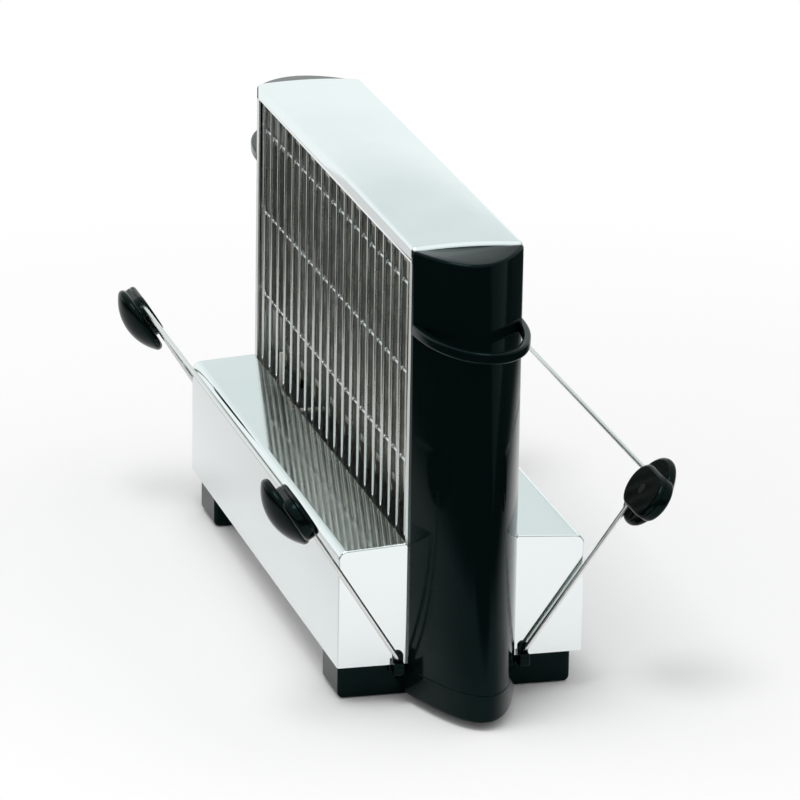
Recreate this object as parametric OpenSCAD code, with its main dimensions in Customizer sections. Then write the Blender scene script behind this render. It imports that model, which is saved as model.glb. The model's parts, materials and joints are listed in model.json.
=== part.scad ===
// Upright two-sided toaster: a tall heater core between two end columns, over a low steel base,
// with a swinging wire rack on each side that holds the bread against the grille.
// Millimetres. X runs across, -Y is the front end, +Z is up, and the pads stand on Z = 0.

/* [Body] */
// Length of the steel body between its two end faces
body_l = 286; // [240:1:340]
// Width of the cap and of the heater core
core_w = 50; // [46:1:60]
// Height of the cap's long edges above the table
cap_z = 208.5; // [193:0.1:233]
// Rise of the cap's middle over its long edges
cap_crown = 1.2; // [0.6:0.1:3]
// Height of the cap's side flange
cap_flange = 7; // [4:0.5:10]
// Thickness of the folded steel sheet
sheet = 0.8; // [0.6:0.1:1]

/* [Base] */
// Width of the base over its two side panels
base_w = 112; // [106:1:140]
// Height of the base's outer top edge above the table
base_top_z = 72; // [61:0.1:87]
// Rise of the tray from its outer edge to the grille
tray_rise = 2; // [0.5:0.1:4]
// Bend radius along the outer top edge
base_bend_r = 4; // [2:0.5:7]
// Depth of the flange that turns down at the tray's inner edge
tray_flange = 8; // [4:0.5:12]

/* [Feet] */
// Height of the base's lower edge above the table
foot_h = 17.9; // [16:0.1:21]
// Set-back of a foot's cross bar from the end face
foot_set = 9; // [8:0.1:12]
// Reach of the cross bar's inner side behind the end face
foot_back = 37.5; // [30:0.5:50]
// Inset of the cross bar from the base's side panel
foot_inset = 2.6; // [1:0.1:4]
// Rounding of the cross bar's lower ends
foot_round = 2.5; // [1:0.1:4]
// Reach of the plinth nose ahead of the end face, at its lower edge
plinth_depth = 43.6; // [38:0.1:52]
// Height of the plinth's underside above that of the cross bar
plinth_rise = 3.1; // [1:0.1:5]
// Step from the base's lower edge down to the seam of plinth and column
seam_drop = 1.2; // [0.6:0.1:2]
// Diameter of a rubber pad
pad_d = 10; // [8:0.5:12]
// Thickness of a rubber pad
pad_t = 2.3; // [1.6:0.1:2.4]
// Height by which a pad stands proud of the foot
pad_proud = 0.4; // [0.3:0.1:1]
// Distance of a pad from the base's side panel
pad_inset = 10; // [9:0.5:12]

/* [Columns] */
// Reach of a column ahead of the end face, at its lower edge
column_low_depth = 45.2; // [40:0.1:54]
// Reach of a column ahead of the end face, at its top
column_top_depth = 21; // [17:0.1:26]
// Fullness of the column's bow in plan: 2 is a parabola, more is fuller
bow_power = 2; // [1.8:0.05:2.4]
// Wall of a column
column_wall = 2.5; // [2:0.1:3]
// Step from the cap's edge down to the column's top
column_top_gap = 1.1; // [0.5:0.1:2]
// Fall of the column's top face towards its nose
column_top_fall = 1.6; // [0.5:0.1:3]

/* [Carry loop] */
// Height of the loop's lower edge
loop_z = 169.9; // [143:0.1:178]
// Height of the loop's band
loop_h = 4.8; // [4:0.1:8]
// Thickness of the loop's band
loop_t = 3.7; // [3:0.1:5]
// Reach of the loop ahead of the end face
loop_depth = 51; // [46:0.1:56]
// Overhang of the loop's band beyond the column's side
loop_side = 0.1; // [0.1:0.1:2]

/* [Racks] */
// Diameter of the rack wire
wire_d = 2.2; // [2:0.1:2.6]
// Distance of a rack's pivot from the middle plane
pivot_x = 28.6; // [28.6:0.1:32]
// Height of a rack's pivot above the base's lower edge
pivot_rise = 2.8; // [2.6:0.1:5]
// Distance from the pivot to the rack's long bar
arm_r = 96.3; // [88:0.1:110]
// Distance of the rack's arm from the end face
arm_lead = 2.6; // [2.4:0.1:3]
// Bend radius of the wire at the rack's corners
wire_bend_r = 6; // [4:0.5:8]
// Length of the pivot pin behind the end face
pin_in = 8; // [6:0.5:12]
// Lean of the left rack from upright
left_lean = 32.7; // [20:0.1:50]
// Lean of the right rack from upright
right_lean = 35.5; // [20:0.1:50]

/* [Grips] */
// Diameter of a grip's disc
grip_d = 34; // [31:0.5:38]
// Height of the disc's dome over its rim
grip_dome = 7.6; // [5:0.1:9]
// Thickness of the disc's rim
grip_rim = 2.4; // [1.4:0.1:3]
// Distance from the wire's plane to the back of the disc
grip_stand = 2.6; // [1.6:0.1:4]
// Width of the boss that holds the wire
boss_d = 21; // [20:0.5:26]
// Distance from the arm to the middle of the boss's round end
boss_reach = 14.5; // [12:0.5:18]
// Thickness of the clamp behind the wire
clamp_t = 2.6; // [2.4:0.1:3.4]
// Distance from the long bar down to the middle of a grip
grip_drop = 6.6; // [5:0.1:8]

/* [Grille] */
// Diameter of the grille wire
grille_d = 1.8; // [1.4:0.1:2.2]
// Distance between upright grille wires
grille_pitch = 14; // [10:0.5:20]
// Distance from the cap's flange down to the first cross wire in sight
cross_drop = 14; // [8:0.5:24]
// Number of spaces between that cross wire and the lowest one
cross_spaces = 3; // [2:1:5]

/* [Heater] */
// Distance of a heater board from the middle plane
board_x = 14; // [12:0.5:15]
// Thickness of a heater board
board_t = 1; // [0.6:0.1:1.4]
// Free height above and below a heater board
board_margin = 4; // [3:0.5:8]
// Width of the heating ribbon
ribbon_w = 3; // [2:0.5:5]
// Thickness of the heating ribbon
ribbon_t = 0.3; // [0.2:0.05:0.5]
// Distance between runs of the heating ribbon
ribbon_pitch = 14; // [10:0.5:20]
// Thickness of the reflector
reflector_t = 0.6; // [0.4:0.1:1]

/* [Timer] */
// Height of the timer's shaft
timer_z = 101; // [93:0.5:113]
// Diameter of the timer's can
timer_d = 28; // [24:0.5:30]
// Length of the timer's can
timer_l = 13; // [10:0.5:15]
// Diameter of the timer's shaft
shaft_d = 6; // [5:0.1:7]
// Diameter of the seat on the rear column
seat_d = 30; // [26:0.5:32]
// Diameter of the timer's knob
dial_d = 28; // [24:0.5:30]
// Thickness of the timer's knob, with its ridge
dial_t = 11; // [9:0.5:12]

/* [Fasteners] */
// Diameter of a screw's shank
screw_d = 2.5; // [2.2:0.1:2.8]
// Diameter of a screw's head
head_d = 5; // [4.4:0.1:5.4]
// Height of a screw's head
head_h = 1.6; // [1.2:0.1:2]

/* [Hidden] */
$fn = 64;

// Clearances: a running fit, a loose hole, pieces of one body, and pieces that move past each other
run_gap = 0.05;
hole_gap = 0.1;
fit_gap = 0.1;
swing_gap = 0.3;
// A thin slice, and the overlap of a cut past a face
sliver = 0.02;
cut = 1;

// Body
half_l = body_l / 2;
half_core = core_w / 2;
half_base = base_w / 2;
cap_r = (half_core * half_core + cap_crown * cap_crown) / (2 * cap_crown);
flange_z = cap_z - cap_flange;
floor_z = foot_h + sheet;
tray_slope = atan(tray_rise / (half_base - half_core));

// Columns and feet
column_top_z = cap_z - column_top_gap;
top_fall_angle = atan(column_top_fall / column_top_depth);
seam_z = foot_h - seam_drop;
plinth_z = pad_proud + plinth_rise;
pivot_z = foot_h + pivot_rise;
bow_steps = 28;
bar_half = half_base - foot_inset;
boss_r = 4;
boss_l = 10;
boss_rib = 2;
boss_floor = 1.5;
boss_x_share = 0.48;
boss_low_share = 0.11;
boss_high_share = 0.7;
boss_x = boss_x_share * half_core;
boss_low_z = foot_h + boss_low_share * (flange_z - foot_h);
boss_high_z = foot_h + boss_high_share * (flange_z - foot_h);
foot_screw_share = 0.56;
foot_screw_x = foot_screw_share * half_core;
foot_screw_d = foot_set + head_d;
foot_screw_seat = foot_h / 2;
bearing_half = pivot_x - half_core - fit_gap;
bearing_rise = 4;
bearing_top_z = pivot_z + bearing_rise;
lug_r = 2.4;
lug_drop = 4;
lug_top = 1.3;
lug_in = arm_lead - wire_d / 2 - swing_gap;
lug_out = arm_lead + wire_d / 2 + 2 * swing_gap;
pad_x = half_base - pad_inset;
pad_d_in = (foot_set + foot_back) / 2;

// Bulkheads
bulkhead_flange = 4;
bulkhead_foot = foot_screw_d + head_d;
bulkhead_top = 10;
bulkhead_foot_x = foot_screw_x + head_d;
bulkhead_top_z = column_top_z - fit_gap;
carrier_in = 14;
carrier_h = 20;
lead_hole_share = 0.74;
lead_hole_z = floor_z + lead_hole_share * (base_top_z - foot_h);
lead_hole_r = 4;

// Grille
grille_r = grille_d / 2;
upright_x = half_core - sheet - fit_gap - grille_r;
weld_depth = 0.2 * grille_r;
cross_x = upright_x - 2 * grille_r + weld_depth;
grille_top_z = cap_z - sheet - 2 * fit_gap;
grille_low_z = base_top_z - tray_flange;
cross_high_z = flange_z - cross_drop;
cross_low_z = grille_low_z + grille_d;
upright_half = floor((half_l - bulkhead_flange - grille_d) / grille_pitch - 0.5);

// Heater
board_end_gap = 6;
board_half = half_l - sheet - board_end_gap;
board_low_z = base_top_z + board_margin;
board_high_z = flange_z - board_margin;
ribbon_half = floor((half_l - carrier_in - ribbon_w) / ribbon_pitch);
ribbon_edge = 6;
ribbon_y = ribbon_half * ribbon_pitch;

// Racks and grips
wire_r = wire_d / 2;
arm_y = half_l + arm_lead;
grip_u = arm_r - grip_drop;
grip_r = grip_d / 2;
grip_screw_y = boss_reach / 2;
grip_screw_depth = 5;

// Timer
seat_in = 18;
seat_out = 37.5;
dial_gap = 0.5;
dial_ridge = 4;
dial_ridge_w = 4;
shaft_in = 5;
shaft_out = 6;

// Terminal block, duct and leads
block = [24, 12, 12];
bush_flange_r = 5;
block_gap = 2.2;
block_x = half_base - sheet - block_gap - block.x;
block_share = 0.68;
block_y = block_share * half_l;
duct_share = 0.75;
duct_x = duct_share * half_base;
duct_r = 3.6;
duct_z = foot_h - bush_flange_r - fit_gap;
duct_l = 12;
duct_turn = foot_set + duct_l;
bush_flange_t = 1.6;
bush_sleeve = 5;
bush_bore_r = 2.9;
lead_r = 1.1;

// Height of the tray's surface at x, lowered by an inset
function tray_z(x, inset) =
    base_top_z - inset / cos(tray_slope) + (half_base - x) * tan(tray_slope);

// Point i of a bow in plan, from [half, 0] over the nose at [0, depth] to [-half, 0]
function bow_point(i, half, depth) =
    let (t = 1 - 2 * i / bow_steps)
    [half * t, depth * (1 - pow(abs(t), bow_power))];

// Puts an end piece, drawn with y pointing out of the rear end face, at the front or the rear
module at_end(s) {
    translate([0, s * half_l, 0])
        if (s < 0) mirror([0, 1, 0]) children();
        else children();
}

// Puts a right-hand piece on the left or the right
module at_side(s) {
    if (s < 0) mirror([1, 0, 0]) children();
    else children();
}

// Both ends, and both sides
module both_ends() {
    for (s = [-1, 1]) at_end(s) children();
}

module both_sides() {
    for (s = [-1, 1]) at_side(s) children();
}

// A cylinder along +Y from y0 to y1
module rod_y(r, y0, y1) {
    translate([0, y0, 0]) rotate([-90, 0, 0]) cylinder(r = r, h = y1 - y0);
}

// An outline in X and Z, drawn along Y from y0 to y1
module along_y(y0, y1) {
    translate([0, y1, 0]) rotate([90, 0, 0]) linear_extrude(y1 - y0) children();
}

// Half an ellipse in plan, from the end face to its nose
module half_ellipse(half, depth) {
    polygon([for (i = [0 : bow_steps]) [half * cos(180 * i / bow_steps), depth * sin(180 * i / bow_steps)]]);
}

// A bow drawn up from z0 to z1, with its nose moving from low to high
module bow_solid(half, low, high, z0, z1) {
    n = bow_steps + 1;
    polyhedron(
        points = concat(
            [for (i = [0 : bow_steps]) concat(bow_point(i, half, low), z0)],
            [for (i = [0 : bow_steps]) concat(bow_point(i, half, high), z1)]
        ),
        faces = concat(
            [[for (i = [0 : bow_steps]) i]],
            [[for (i = [bow_steps : -1 : 0]) n + i]],
            [for (i = [0 : bow_steps]) [i, n + i, n + (i + 1) % n]],
            [for (i = [0 : bow_steps]) [i, n + (i + 1) % n, (i + 1) % n]]
        )
    );
}

// A pan-head screw along +Y with the underside of its head at y = 0
module screw_y(l) {
    rod_y(screw_d / 2, -sliver, l);
    rod_y(head_d / 2, -head_h, 0);
}

// Cap over the heater core, crowned, with a flange down each side and a lip at each end
module cap_outline(inset) {
    half = half_core - inset;
    low = flange_z - (inset > 0 ? cut : 0);
    intersection() {
        translate([-half, low]) square([2 * half, cap_z + cap_crown - low]);
        translate([0, cap_z + cap_crown - cap_r]) circle(cap_r - inset, $fn = 360);
    }
}

module top_cap() {
    color("gainsboro") {
        along_y(-half_l, half_l) difference() {
            cap_outline(0);
            cap_outline(sheet);
        }
        both_ends() along_y(-sheet, 0) intersection() {
            cap_outline(0);
            translate([-half_core, column_top_z]) square([core_w, column_top_gap + 2 * cap_crown]);
        }
    }
}

// Base cover: tray, side panel and two end faces, open below and towards the core
module cover_outline(inset) {
    low = foot_h - (inset > 0 ? cut : 0);
    inner = half_core - (inset > 0 ? cut : 0);
    outer = half_base - inset;
    r = base_bend_r - inset;
    cx = outer - r;
    cz = tray_z(cx, inset) - r / cos(tray_slope);
    polygon([
        [inner, low], [outer, low], [outer, cz],
        [cx + r * sin(tray_slope), cz + r * cos(tray_slope)], [inner, tray_z(inner, inset)]
    ]);
    translate([cx, cz]) circle(r);
}

module right_cover() {
    difference() {
        union() {
            difference() {
                along_y(-half_l, half_l) cover_outline(0);
                along_y(-half_l + sheet, half_l - sheet) cover_outline(sheet);
            }
            translate([half_core, -half_l + sheet / 2, tray_z(half_core, sheet) - tray_flange])
                cube([sheet, body_l - sheet, tray_flange + sheet / 2]);
        }
        both_ends() translate([pivot_x, 0, pivot_z])
            rod_y(wire_r + swing_gap, -sheet - cut, cut);
    }
}

module right_base_cover() {
    color("gainsboro") right_cover();
}

module left_base_cover() {
    color("gainsboro") at_side(-1) right_cover();
}

// Floor of the base, between the covers and over the feet
module base_plate() {
    half_x = half_base - sheet - fit_gap;
    half_y = half_l - sheet - fit_gap;
    color("silver") difference() {
        translate([-half_x, -half_y, foot_h]) cube([2 * half_x, 2 * half_y, sheet]);
        both_ends() both_sides() {
            translate([pivot_x, 0, foot_h - cut]) bearing(fit_gap, floor_z + cut);
            translate([foot_screw_x, -foot_screw_d, foot_h - cut])
                cylinder(d = screw_d + 2 * hole_gap, h = sheet + 2 * cut);
        }
        at_end(1) translate([duct_x, -duct_turn, foot_h - cut])
            cylinder(r = duct_r, h = sheet + 2 * cut);
    }
}

// Bearing block of a foot behind the end face, from z = 0 up to a height, grown by a gap
module bearing(gap, top_z) {
    y0 = -sheet - fit_gap - pin_in - gap;
    y1 = -sheet - fit_gap + gap;
    w = 2 * (bearing_half + gap);
    translate([-w / 2, y0, 0]) cube([w, y1 - y0, top_z - foot_h + cut]);
}

// Cross bar of a foot, with rounded lower ends
module cross_bar() {
    bar_h = foot_h - pad_proud;
    along_y(-foot_back, -foot_set) {
        translate([-bar_half, pad_proud + foot_round]) square([2 * bar_half, bar_h - foot_round]);
        translate([-bar_half + foot_round, pad_proud]) square([2 * (bar_half - foot_round), bar_h]);
        for (s = [-1, 1]) translate([s * (bar_half - foot_round), pad_proud + foot_round])
            circle(foot_round);
    }
}

// Arm and lug of a rack's pivot: under the base's edge, up behind the wire and below it
module pivot_lug() {
    low_z = foot_h - lug_drop;
    translate([-bearing_half, -foot_set - cut, low_z])
        cube([2 * bearing_half, foot_set + cut - sheet - fit_gap, lug_drop]);
    translate([-lug_r, -sheet - cut, low_z])
        cube([2 * lug_r, lug_out + sheet + cut, lug_drop - fit_gap]);
    translate([-lug_r, fit_gap, low_z])
        cube([2 * lug_r, lug_out - fit_gap, pivot_z - wire_r - swing_gap - low_z]);
    translate([-lug_r, fit_gap, low_z])
        cube([2 * lug_r, lug_in - fit_gap, pivot_z + lug_top - low_z]);
    translate([0, 0, pivot_z + lug_top]) rod_y(lug_r, fit_gap, lug_in);
    translate([0, 0, foot_h - cut]) bearing(0, bearing_top_z);
}

// Foot: cross bar, neck and plinth of a column, with lugs and bearings for the rack pins
module foot(has_duct) {
    neck_half = half_core - cut;
    difference() {
        union() {
            cross_bar();
            translate([-neck_half, -foot_set - cut, plinth_z])
                cube([2 * neck_half, foot_set + 2 * cut, seam_z - plinth_z]);
            bow_solid(half_core, plinth_depth, column_low_depth, plinth_z, seam_z);
            both_sides() translate([pivot_x, 0, 0]) pivot_lug();
        }
        both_sides() {
            translate([pivot_x, 0, pivot_z]) {
                rod_y(wire_r + run_gap, -sheet - fit_gap - pin_in - cut, -sheet);
                rod_y(wire_r + swing_gap, -sheet, lug_in + cut);
            }
            translate([pad_x, -pad_d_in, pad_proud - cut])
                cylinder(d = pad_d + 2 * fit_gap, h = pad_t - pad_proud + cut);
            translate([foot_screw_x, -foot_screw_d, pad_proud - cut]) {
                cylinder(d = screw_d + 2 * hole_gap, h = foot_h + 2 * cut);
                cylinder(d = head_d + 2 * hole_gap, h = foot_screw_seat - pad_proud + cut);
            }
        }
        if (has_duct) translate([duct_x, 0, duct_z]) {
            rod_y(duct_r, -duct_turn, -foot_set + cut);
            translate([0, -duct_turn, 0]) cylinder(r = duct_r, h = foot_h);
        }
    }
}

module front_foot() {
    color("#1b1d1d") at_end(-1) foot(false);
}

module rear_foot() {
    color("#1b1d1d") at_end(1) foot(true);
}

// Four rubber pads under the feet
module foot_pads() {
    color("#2a2a2a") both_ends() both_sides()
        translate([pad_x, -pad_d_in, 0]) cylinder(d = pad_d, h = pad_t);
}

// Column: hollow bow-fronted shell with a carry loop and four screw bosses
module column_form(inset) {
    half = half_core - inset;
    high_z = column_top_z - inset;
    low_z = seam_z - (inset > 0 ? cut : 0);
    difference() {
        bow_solid(half, column_low_depth - inset, column_top_depth - inset, low_z, high_z);
        translate([-half - cut, 0, high_z]) rotate([-top_fall_angle, 0, 0])
            cube([2 * (half + cut), column_low_depth, boss_l]);
    }
}

module carry_loop() {
    half = half_core + loop_side;
    translate([0, 0, loop_z]) linear_extrude(loop_h) difference() {
        half_ellipse(half, loop_depth);
        translate([0, -sliver]) half_ellipse(half - loop_t, loop_depth - loop_t);
    }
}

module column(has_timer) {
    difference() {
        union() {
            difference() {
                union() {
                    column_form(0);
                    carry_loop();
                }
                translate([0, -sliver, 0]) column_form(column_wall);
            }
            intersection() {
                column_form(0);
                both_sides() for (z = [boss_low_z, boss_high_z]) translate([boss_x, 0, z]) {
                    rod_y(boss_r, 0, boss_l);
                    translate([0, 0, -boss_rib / 2]) cube([half_core - boss_x, boss_l, boss_rib]);
                }
            }
            if (has_timer) translate([0, 0, timer_z])
                rod_y(seat_d / 2, seat_in, seat_out);
        }
        both_sides() for (z = [boss_low_z, boss_high_z])
            translate([boss_x, 0, z]) rod_y(screw_d / 2 + run_gap, -cut, boss_l - boss_floor);
        if (has_timer) translate([0, 0, timer_z])
            rod_y(shaft_d / 2 + swing_gap, seat_in - cut, seat_out + cut);
    }
}

module front_column() {
    color("#161818") at_end(-1) column(false);
}

module rear_column() {
    color("#161818") at_end(1) column(true);
}

// Bulkhead: end plate of the heater core, with edge flanges, a foot, a top and board carriers
module carrier(z0) {
    inner = board_x - board_t / 2 - fit_gap - sheet;
    outer = board_x + board_t / 2 + fit_gap;
    for (x = [inner, outer]) translate([x, -carrier_in, z0]) cube([sheet, carrier_in, carrier_h]);
}

module bulkhead() {
    cap_half = half_core - sheet - fit_gap;
    top_half = cross_x - grille_r - fit_gap;
    ledge = board_t + 2 * fit_gap + 2 * sheet;
    difference() {
        union() {
            translate([-half_core, -sheet, floor_z])
                cube([core_w, sheet, flange_z - fit_gap - floor_z]);
            translate([-cap_half, -sheet, floor_z])
                cube([2 * cap_half, sheet, bulkhead_top_z - floor_z]);
            translate([-bulkhead_foot_x, -bulkhead_foot, floor_z])
                cube([2 * bulkhead_foot_x, bulkhead_foot, sheet]);
            translate([-top_half, -bulkhead_top, bulkhead_top_z - sheet])
                cube([2 * top_half, bulkhead_top, sheet]);
            both_sides() {
                translate([half_core - sheet, -bulkhead_flange, floor_z])
                    cube([sheet, bulkhead_flange, flange_z - fit_gap - floor_z]);
                carrier(board_low_z - sheet);
                carrier(board_high_z - carrier_h);
                translate([board_x - ledge / 2, -carrier_in, board_low_z - sheet])
                    cube([ledge, carrier_in, sheet]);
            }
        }
        both_sides() {
            for (z = [boss_low_z, boss_high_z]) translate([boss_x, 0, z])
                rod_y(screw_d / 2 + hole_gap, -sheet - cut, cut);
            translate([foot_screw_x, -foot_screw_d, floor_z - cut])
                cylinder(d = screw_d + 2 * hole_gap, h = sheet + 2 * cut);
        }
        translate([0, 0, lead_hole_z]) rod_y(lead_hole_r, -sheet - cut, cut);
    }
}

module front_bulkhead() {
    color("silver") at_end(-1) bulkhead();
}

module rear_bulkhead() {
    color("silver") at_end(1) bulkhead();
}

// Grille: upright wires over cross wires that end on the bulkheads
module grille() {
    step = (cross_high_z - cross_low_z) / cross_spaces;
    for (i = [-upright_half : upright_half + 1])
        translate([upright_x, (i - 0.5) * grille_pitch, grille_low_z])
            cylinder(r = grille_r, h = grille_top_z - grille_low_z);
    for (i = [0 : cross_spaces])
        translate([cross_x, 0, cross_low_z + i * step]) rod_y(grille_r, -half_l + sheet, half_l - sheet);
}

module right_grille() {
    color("lightgray") grille();
}

module left_grille() {
    color("lightgray") at_side(-1) grille();
}

// Reflector sheet in the middle plane, standing on the feet of the bulkheads
module reflector() {
    low_z = floor_z + sheet;
    high_z = bulkhead_top_z - sheet - fit_gap;
    color("gainsboro") difference() {
        translate([-reflector_t / 2, -half_l + sheet, low_z])
            cube([reflector_t, body_l - 2 * sheet, high_z - low_z]);
        translate([0, block_y, lead_hole_z]) rotate([0, 90, 0])
            cylinder(r = 2 * lead_r, h = 2 * cut, center = true);
        both_ends() translate([0, -sheet, lead_hole_z]) rod_y(lead_hole_r, -lead_hole_r, 0);
    }
}

// Heater board of mica, held in the carriers
module heater_board() {
    translate([board_x - board_t / 2, -board_half, board_low_z])
        cube([board_t, 2 * board_half, board_high_z - board_low_z]);
}

module right_heater_board() {
    color("#8d8a72") heater_board();
}

module left_heater_board() {
    color("#8d8a72") at_side(-1) heater_board();
}

// Heating ribbon: upright runs on the board's outer face, joined in turn above and below
module heating_ribbon() {
    low_z = board_low_z + ribbon_edge;
    high_z = board_high_z - ribbon_edge;
    translate([board_x + board_t / 2, 0, 0]) {
        for (i = [-ribbon_half : ribbon_half])
            translate([0, i * ribbon_pitch - ribbon_w / 2, low_z])
                cube([ribbon_t, ribbon_w, high_z - low_z]);
        for (i = [-ribbon_half : ribbon_half - 1]) {
            turn_z = (i + ribbon_half) % 2 == 0 ? high_z - ribbon_w : low_z;
            translate([0, i * ribbon_pitch - ribbon_w / 2, turn_z])
                cube([ribbon_t, ribbon_pitch + ribbon_w, ribbon_w]);
        }
        for (s = [-1, 1]) translate([0, s * ribbon_y - ribbon_w / 2, board_low_z])
            cube([ribbon_t, ribbon_w, ribbon_edge + sliver]);
    }
}

module right_heating_ribbon() {
    color("darkkhaki") heating_ribbon();
}

module left_heating_ribbon() {
    color("darkkhaki") at_side(-1) heating_ribbon();
}

// Rack frame: z runs up the arm from the pivot, and x points out of the rack's plane
module on_rack(s) {
    at_side(s) translate([pivot_x, 0, pivot_z])
        rotate([0, s < 0 ? left_lean : right_lean, 0]) children();
}

// One end of the rack wire: pin, arm, bent corner and half of the long bar
module wire_end(r) {
    translate([0, arm_y, 0]) {
        sphere(r = r);
        cylinder(r = r, h = arm_r - wire_bend_r);
        rod_y(r, -arm_lead - sheet - pin_in, 0);
    }
    translate([0, arm_y - wire_bend_r, arm_r - wire_bend_r]) rotate([90, 0, 90])
        rotate_extrude(angle = 90) translate([wire_bend_r, 0]) circle(r);
    translate([0, 0, arm_r]) rod_y(r, 0, arm_y - wire_bend_r);
}

module rack_wire(r) {
    wire_end(r);
    mirror([0, 1, 0]) wire_end(r);
}

module left_rack() {
    color("silver") on_rack(-1) rack_wire(wire_r);
}

module right_rack() {
    color("silver") on_rack(1) rack_wire(wire_r);
}

// Outline of a boss: it holds the wire's corner and reaches past the disc
module boss_plan() {
    circle(d = boss_d);
    translate([0, boss_reach]) circle(d = boss_d);
    translate([-boss_d / 2, 0]) square([boss_d, boss_reach]);
}

// Grip: domed disc with half of the boss, in the rack's frame, at the rear end
module grip() {
    dome_r = (grip_r * grip_r + grip_dome * grip_dome) / (2 * grip_dome);
    top = grip_stand + grip_rim + grip_dome;
    difference() {
        translate([0, arm_y, grip_u]) rotate([0, 90, 0]) {
            rotate_extrude() intersection() {
                translate([0, grip_stand]) square([grip_r, grip_rim + grip_dome]);
                translate([0, top - dome_r]) circle(dome_r);
            }
            linear_extrude(grip_stand + grip_rim) boss_plan();
        }
        rack_wire(wire_r + run_gap);
        grip_screw_at() translate([0, 0, -cut])
            cylinder(d = screw_d + 2 * run_gap, h = grip_screw_depth + cut);
    }
}

// Place of a grip's screw, with z along the screw towards the disc
module grip_screw_at() {
    translate([0, arm_y + grip_screw_y, grip_u]) rotate([0, 90, 0]) children();
}

// Clamp: the other half of the boss, with a seat for the screw's head
module clamp() {
    difference() {
        translate([-clamp_t, arm_y, grip_u]) rotate([0, 90, 0]) linear_extrude(clamp_t) boss_plan();
        rack_wire(wire_r + run_gap);
        grip_screw_at() {
            translate([0, 0, -clamp_t - cut])
                cylinder(d = screw_d + 2 * hole_gap, h = clamp_t + 2 * cut);
            translate([0, 0, -clamp_t - cut])
                cylinder(d = head_d + 2 * hole_gap, h = head_h + cut);
        }
    }
}

module grip_screw() {
    grip_screw_at() translate([0, 0, -clamp_t]) {
        cylinder(d = head_d, h = head_h);
        cylinder(d = screw_d, h = clamp_t + grip_screw_depth - 2 * fit_gap);
    }
}

// A piece of the rack at its front end or its rear end
module rack_end(s) {
    if (s < 0) mirror([0, 1, 0]) children();
    else children();
}

module left_front_grip() {
    color("#141616") on_rack(-1) rack_end(-1) grip();
}

module left_rear_grip() {
    color("#141616") on_rack(-1) rack_end(1) grip();
}

module right_front_grip() {
    color("#141616") on_rack(1) rack_end(-1) grip();
}

module right_rear_grip() {
    color("#141616") on_rack(1) rack_end(1) grip();
}

module left_clamps() {
    color("#141616") on_rack(-1) for (s = [-1, 1]) rack_end(s) clamp();
}

module right_clamps() {
    color("#141616") on_rack(1) for (s = [-1, 1]) rack_end(s) clamp();
}

module left_grip_screws() {
    color("silver") on_rack(-1) for (s = [-1, 1]) rack_end(s) grip_screw();
}

module right_grip_screws() {
    color("silver") on_rack(1) for (s = [-1, 1]) rack_end(s) grip_screw();
}

// Timer: can on the rear bulkhead, shaft through the column's seat, and knob
module timer_body() {
    color("dimgray") at_end(1) translate([0, 0, timer_z]) difference() {
        rod_y(timer_d / 2, 0, timer_l);
        rod_y(shaft_d / 2 + run_gap, timer_l - shaft_in - run_gap, timer_l + cut);
    }
}

module timer_shaft() {
    color("silver") at_end(1) translate([0, 0, timer_z])
        rod_y(shaft_d / 2, timer_l - shaft_in, seat_out + dial_gap + shaft_out);
}

module timer_knob() {
    low = seat_out + dial_gap;
    disc_t = dial_t - dial_ridge;
    color("#141616") at_end(1) translate([0, 0, timer_z]) difference() {
        union() {
            rod_y(dial_d / 2, low, low + disc_t);
            intersection() {
                rod_y(dial_d / 2, low, low + dial_t);
                translate([-dial_ridge_w / 2, low, -dial_d / 2]) cube([dial_ridge_w, dial_t, dial_d]);
            }
        }
        rod_y(shaft_d / 2 + run_gap, low - cut, low + shaft_out + run_gap);
    }
}

// Mains terminal block on the base plate
module terminal_block() {
    color("ivory") difference() {
        translate([block_x, block_y - block.y / 2, floor_z]) cube(block);
        for (i = [0.5 : 2.5])
            translate([block_x + i * block.x / 3, block_y, floor_z + block.z / 2])
                cylinder(d = screw_d, h = block.z);
    }
}

// Bush at the mouth of the lead's duct in the rear foot
module cord_bush() {
    color("#202222") at_end(1) translate([duct_x, 0, duct_z]) difference() {
        union() {
            rod_y(bush_flange_r, -foot_set, -foot_set + bush_flange_t);
            rod_y(duct_r - fit_gap, -foot_set - bush_sleeve, -foot_set + sliver);
        }
        rod_y(bush_bore_r, -foot_set - bush_sleeve - cut, -foot_set + bush_flange_t + cut);
    }
}

// Insulated leads: terminal block to each ribbon and to the timer
module lead(points) {
    for (i = [0 : len(points) - 2]) {
        a = points[i];
        d = points[i + 1] - a;
        translate(a) {
            if (i > 0) sphere(r = lead_r + run_gap);
            rotate([0, acos(d.z / norm(d)), atan2(d.y, d.x)]) cylinder(r = lead_r, h = norm(d));
        }
    }
}

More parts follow.
